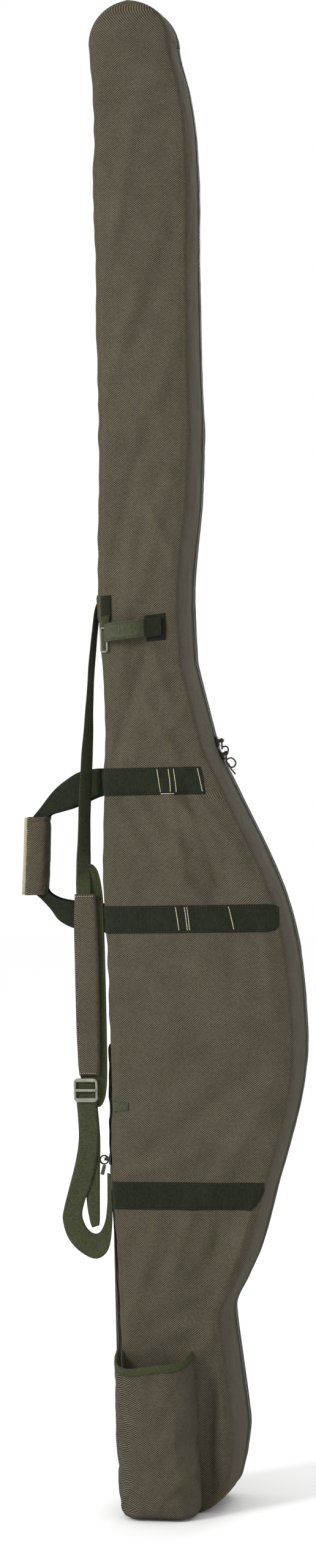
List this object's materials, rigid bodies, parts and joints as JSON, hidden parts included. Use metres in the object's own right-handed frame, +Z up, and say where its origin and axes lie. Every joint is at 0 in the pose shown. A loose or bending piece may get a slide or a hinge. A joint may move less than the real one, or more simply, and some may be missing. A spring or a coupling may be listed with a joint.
{
  "type": "rod case",
  "caption": "Tall padded fabric case for made-up fishing rods, with a reel bulge, side-opening cover, butt pocket, carry handle and shoulder strap.",
  "frame": {"origin": "middle of the footprint of the whole object, on the floor that the case stands on", "axes": "+Z up the case towards the rod tips, +X towards the reel bulge, -Y out of the front face"},
  "size_m": [0.396, 0.1928, 2.096],
  "materials": {
    "case_fabric": "coarse basket weave nylon, dark olive brown with grey-beige dots",
    "base_fabric": "coated base fabric",
    "lining": "soft black lining",
    "zip_tape": "woven zip tape",
    "zip_chain": "coil zip teeth",
    "dark_webbing": "ribbed polypropylene webbing, dark olive",
    "green_webbing": "ribbed webbing, olive green",
    "strap_webbing": "ribbed webbing, grey olive",
    "binding": "folded binding tape",
    "hook_tape": "hook and loop tape",
    "cream_tape": "cream edge of hook and loop tape",
    "grey_plastic": "moulded grey-green plastic",
    "zip_metal": "coated metal",
    "cord": "thin braided cord"
  },
  "bodies": {
    "case": {"back_panel": "case_fabric", "rear_gusset": "case_fabric", "spine_panel": "case_fabric", "base_board": "base_fabric", "back_padding": "lining", "rear_zip_tape": "zip_tape", "rear_zip_chain": "zip_chain", "rear_upper_band": "dark_webbing", "rear_lower_band": "dark_webbing", "rear_reel_band": "dark_webbing", "front_handle_anchors": "dark_webbing", "rear_handle_anchors": "dark_webbing", "upper_strap_anchor": "dark_webbing", "lower_strap_anchor": "dark_webbing", "lower_rod_tie": "hook_tape", "upper_rod_tie": "hook_tape", "side_pocket": "case_fabric", "side_zip_chain": "zip_chain"},
    "cover": {"front_panel": "case_fabric", "front_gusset": "case_fabric", "front_padding": "lining", "front_zip_tape": "zip_tape", "front_zip_chain": "zip_chain", "front_upper_band": "dark_webbing", "front_lower_band": "dark_webbing", "front_reel_band": "dark_webbing", "side_tab": "green_webbing", "butt_pocket": "case_fabric", "butt_pocket_base": "base_fabric", "butt_pocket_binding": "binding", "rod_strap_patch": "dark_webbing", "edge_webbing": "dark_webbing", "ring_tab": "grey_plastic", "rod_strap_ring": "grey_plastic"},
    "rod_tie_strap": {"rod_strap": "strap_webbing", "rod_strap_hook": "hook_tape"},
    "handle": {"front_handle_strap": "dark_webbing", "rear_handle_strap": "dark_webbing", "grip_sleeve": "case_fabric", "grip_closure": "cream_tape"},
    "shoulder_strap": {"strap_webbing": "green_webbing", "shoulder_pad": "case_fabric", "pad_binding": "binding", "ladder_lock": "grey_plastic", "adjuster_webbing": "green_webbing", "webbing_tail": "green_webbing"},
    "upper_zip": {"upper_slider": "zip_metal"},
    "lower_zip": {"lower_slider": "zip_metal"},
    "upper_pull": {"upper_puller": "zip_metal", "upper_puller_cord": "cord"},
    "lower_pull": {"lower_puller": "zip_metal", "lower_puller_cord": "cord"},
    "side_zip": {"side_slider": "zip_metal"},
    "side_pull": {"side_pull_ring": "cord", "side_pull_tab": "grey_plastic"}
  },
  "joints": [
    {"name": "cover_hinge", "type": "hinge", "parent": "case", "child": "cover", "pos_m": [-0.06296, -0.0352, 0], "axis": [0, 0, -1], "range_deg": [0, 100]},
    {"name": "rod_strap_hinge", "type": "hinge", "parent": "cover", "child": "rod_tie_strap", "pos_m": [-0.06006, -0.042, 1.2165], "axis": [0, 0, 1], "range_deg": [-80, 0]},
    {"name": "handle_swing", "type": "hinge", "parent": "case", "child": "handle", "pos_m": [-0.06596, 0.0298, 0.912], "axis": [0, 0, -1], "range_deg": [-10, 30]},
    {"name": "strap_swing", "type": "hinge", "parent": "case", "child": "shoulder_strap", "pos_m": [-0.06696, -0.0282, 0.866], "axis": [0, 0, -1], "range_deg": [-45, 0]},
    {"name": "upper_zip_slide", "type": "slide", "parent": "cover", "child": "upper_zip", "axis": [-0.2295, 0, 0.9733], "range_m": [0, 0.1]},
    {"name": "lower_zip_slide", "type": "slide", "parent": "cover", "child": "lower_zip", "axis": [0.4287, 0, -0.9035], "range_m": [0, 0.12]},
    {"name": "side_zip_slide", "type": "slide", "parent": "case", "child": "side_zip", "axis": [0, 0, 1], "range_m": [-0.27, 0.14]},
    {"name": "upper_pull_swing", "type": "hinge", "parent": "upper_zip", "child": "upper_pull", "pos_m": [0.08492, 0.0649, 1.06895], "axis": [0, -1, 0], "range_deg": [0, 90]},
    {"name": "lower_pull_swing", "type": "hinge", "parent": "lower_zip", "child": "lower_pull", "pos_m": [0.09084, 0.0649, 1.05111], "axis": [0, -1, 0], "range_deg": [0, 90]},
    {"name": "side_pull_swing", "type": "hinge", "parent": "side_zip", "child": "side_pull", "pos_m": [-0.08146, 0.0038, 0.486], "axis": [0, 1, 0], "range_deg": [0, 45]}
  ]
}
